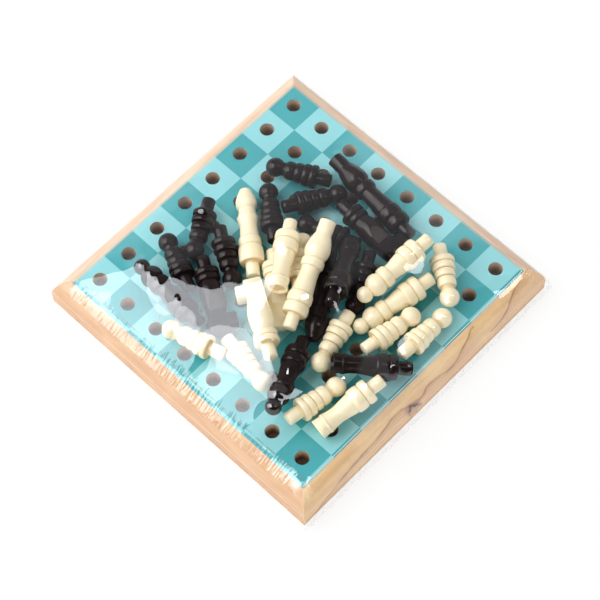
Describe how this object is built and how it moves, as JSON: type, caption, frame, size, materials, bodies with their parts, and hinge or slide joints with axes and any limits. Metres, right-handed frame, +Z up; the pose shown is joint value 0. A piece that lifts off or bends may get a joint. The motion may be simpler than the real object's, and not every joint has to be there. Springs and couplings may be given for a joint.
{
  "type": "travel chess set",
  "caption": "Square pine peg board with a printed chequer, a blind peg hole in each square and turned wooden men lying loose on it under clear shrink film.",
  "frame": {"origin": "middle of the board's underside", "axes": "+Z up, +X and +Y along the board's sides; the camera of the picture stands towards +X -Y"},
  "size_m": [0.1434, 0.1434, 0.046],
  "materials": {
    "pine": "planed and bare",
    "chequer_print": "satin print",
    "cream_wood": "satin varnish",
    "dark_wood": "gloss stain",
    "film": "clear, thin and crinkled"
  },
  "bodies": {
    "board": {"board": "pine", "playing_print": "chequer_print"},
    "cream_king": {"cream_king": "cream_wood"},
    "dark_king": {"dark_king": "dark_wood"},
    "cream_queen": {"cream_queen": "cream_wood"},
    "dark_queen": {"dark_queen": "dark_wood"},
    "cream_rook_1": {"cream_rook_1": "cream_wood"},
    "cream_rook_2": {"cream_rook_2": "cream_wood"},
    "dark_rook_1": {"dark_rook_1": "dark_wood"},
    "dark_rook_2": {"dark_rook_2": "dark_wood"},
    "cream_bishop_1": {"cream_bishop_1": "cream_wood"},
    "cream_bishop_2": {"cream_bishop_2": "cream_wood"},
    "dark_bishop_1": {"dark_bishop_1": "dark_wood"},
    "dark_bishop_2": {"dark_bishop_2": "dark_wood"},
    "cream_knight_1": {"cream_knight_1": "cream_wood"},
    "cream_knight_2": {"cream_knight_2": "cream_wood"},
    "dark_knight_1": {"dark_knight_1": "dark_wood"},
    "dark_knight_2": {"dark_knight_2": "dark_wood"},
    "cream_pawn_1": {"cream_pawn_1": "cream_wood"},
    "cream_pawn_2": {"cream_pawn_2": "cream_wood"},
    "cream_pawn_3": {"cream_pawn_3": "cream_wood"},
    "cream_pawn_4": {"cream_pawn_4": "cream_wood"},
    "cream_pawn_5": {"cream_pawn_5": "cream_wood"},
    "cream_pawn_6": {"cream_pawn_6": "cream_wood"},
    "cream_pawn_7": {"cream_pawn_7": "cream_wood"},
    "cream_pawn_8": {"cream_pawn_8": "cream_wood"},
    "dark_pawn_1": {"dark_pawn_1": "dark_wood"},
    "dark_pawn_2": {"dark_pawn_2": "dark_wood"},
    "dark_pawn_3": {"dark_pawn_3": "dark_wood"},
    "dark_pawn_4": {"dark_pawn_4": "dark_wood"},
    "dark_pawn_5": {"dark_pawn_5": "dark_wood"},
    "dark_pawn_6": {"dark_pawn_6": "dark_wood"},
    "dark_pawn_7": {"dark_pawn_7": "dark_wood"},
    "dark_pawn_8": {"dark_pawn_8": "dark_wood"},
    "shrink_film": {"shrink_film": "film"}
  },
  "joints": [
    {"name": "cream_king_lift", "type": "slide", "parent": "dark_pawn_7", "child": "cream_king", "axis": [0, 0, 1], "range_m": [0, 0.03]},
    {"name": "dark_king_lift", "type": "slide", "parent": "board", "child": "dark_king", "axis": [0, 0, 1], "range_m": [0, 0.03]},
    {"name": "cream_queen_lift", "type": "slide", "parent": "board", "child": "cream_queen", "axis": [0, 0, 1], "range_m": [0, 0.03]},
    {"name": "dark_queen_lift", "type": "slide", "parent": "dark_pawn_8", "child": "dark_queen", "axis": [0, 0, 1], "range_m": [0, 0.03]},
    {"name": "cream_rook_1_lift", "type": "slide", "parent": "cream_pawn_8", "child": "cream_rook_1", "axis": [0, 0, 1], "range_m": [0, 0.03]},
    {"name": "cream_rook_2_lift", "type": "slide", "parent": "board", "child": "cream_rook_2", "axis": [0, 0, 1], "range_m": [0, 0.03]},
    {"name": "dark_rook_1_lift", "type": "slide", "parent": "dark_pawn_7", "child": "dark_rook_1", "axis": [0, 0, 1], "range_m": [0, 0.03]},
    {"name": "dark_rook_2_lift", "type": "slide", "parent": "board", "child": "dark_rook_2", "axis": [0, 0, 1], "range_m": [0, 0.03]},
    {"name": "cream_bishop_1_lift", "type": "slide", "parent": "dark_knight_1", "child": "cream_bishop_1", "axis": [0, 0, 1], "range_m": [0, 0.03]},
    {"name": "cream_bishop_2_lift", "type": "slide", "parent": "board", "child": "cream_bishop_2", "axis": [0, 0, 1], "range_m": [0, 0.03]},
    {"name": "dark_bishop_1_lift", "type": "slide", "parent": "board", "child": "dark_bishop_1", "axis": [0, 0, 1], "range_m": [0, 0.03]},
    {"name": "dark_bishop_2_lift", "type": "slide", "parent": "board", "child": "dark_bishop_2", "axis": [0, 0, 1], "range_m": [0, 0.03]},
    {"name": "cream_knight_1_lift", "type": "slide", "parent": "cream_knight_2", "child": "cream_knight_1", "axis": [0, 0, 1], "range_m": [0, 0.03]},
    {"name": "cream_knight_2_lift", "type": "slide", "parent": "dark_queen", "child": "cream_knight_2", "axis": [0, 0, 1], "range_m": [0, 0.03]},
    {"name": "dark_knight_1_lift", "type": "slide", "parent": "dark_pawn_8", "child": "dark_knight_1", "axis": [0, 0, 1], "range_m": [0, 0.03]},
    {"name": "dark_knight_2_lift", "type": "slide", "parent": "board", "child": "dark_knight_2", "axis": [0, 0, 1], "range_m": [0, 0.03]},
    {"name": "cream_pawn_1_lift", "type": "slide", "parent": "board", "child": "cream_pawn_1", "axis": [0, 0, 1], "range_m": [0, 0.03]},
    {"name": "cream_pawn_2_lift", "type": "slide", "parent": "board", "child": "cream_pawn_2", "axis": [0, 0, 1], "range_m": [0, 0.03]},
    {"name": "cream_pawn_3_lift", "type": "slide", "parent": "board", "child": "cream_pawn_3", "axis": [0, 0, 1], "range_m": [0, 0.03]},
    {"name": "cream_pawn_4_lift", "type": "slide", "parent": "board", "child": "cream_pawn_4", "axis": [0, 0, 1], "range_m": [0, 0.03]},
    {"name": "cream_pawn_5_lift", "type": "slide", "parent": "board", "child": "cream_pawn_5", "axis": [0, 0, 1], "range_m": [0, 0.03]},
    {"name": "cream_pawn_6_lift", "type": "slide", "parent": "board", "child": "cream_pawn_6", "axis": [0, 0, 1], "range_m": [0, 0.03]},
    {"name": "cream_pawn_7_lift", "type": "slide", "parent": "board", "child": "cream_pawn_7", "axis": [0, 0, 1], "range_m": [0, 0.03]},
    {"name": "cream_pawn_8_lift", "type": "slide", "parent": "cream_knight_2", "child": "cream_pawn_8", "axis": [0, 0, 1], "range_m": [0, 0.03]},
    {"name": "dark_pawn_1_lift", "type": "slide", "parent": "board", "child": "dark_pawn_1", "axis": [0, 0, 1], "range_m": [0, 0.03]},
    {"name": "dark_pawn_2_lift", "type": "slide", "parent": "board", "child": "dark_pawn_2", "axis": [0, 0, 1], "range_m": [0, 0.03]},
    {"name": "dark_pawn_3_lift", "type": "slide", "parent": "board", "child": "dark_pawn_3", "axis": [0, 0, 1], "range_m": [0, 0.03]},
    {"name": "dark_pawn_4_lift", "type": "slide", "parent": "board", "child": "dark_pawn_4", "axis": [0, 0, 1], "range_m": [0, 0.03]},
    {"name": "dark_pawn_5_lift", "type": "slide", "parent": "board", "child": "dark_pawn_5", "axis": [0, 0, 1], "range_m": [0, 0.03]},
    {"name": "dark_pawn_6_lift", "type": "slide", "parent": "board", "child": "dark_pawn_6", "axis": [0, 0, 1], "range_m": [0, 0.03]},
    {"name": "dark_pawn_7_lift", "type": "slide", "parent": "cream_pawn_8", "child": "dark_pawn_7", "axis": [0, 0, 1], "range_m": [0, 0.03]},
    {"name": "dark_pawn_8_lift", "type": "slide", "parent": "board", "child": "dark_pawn_8", "axis": [0, 0, 1], "range_m": [0, 0.03]},
    {"name": "shrink_film_lift", "type": "slide", "parent": "board", "child": "shrink_film", "axis": [0, 0, 1], "range_m": [0, 0.25], "deforming": ["shrink_film"]}
  ]
}
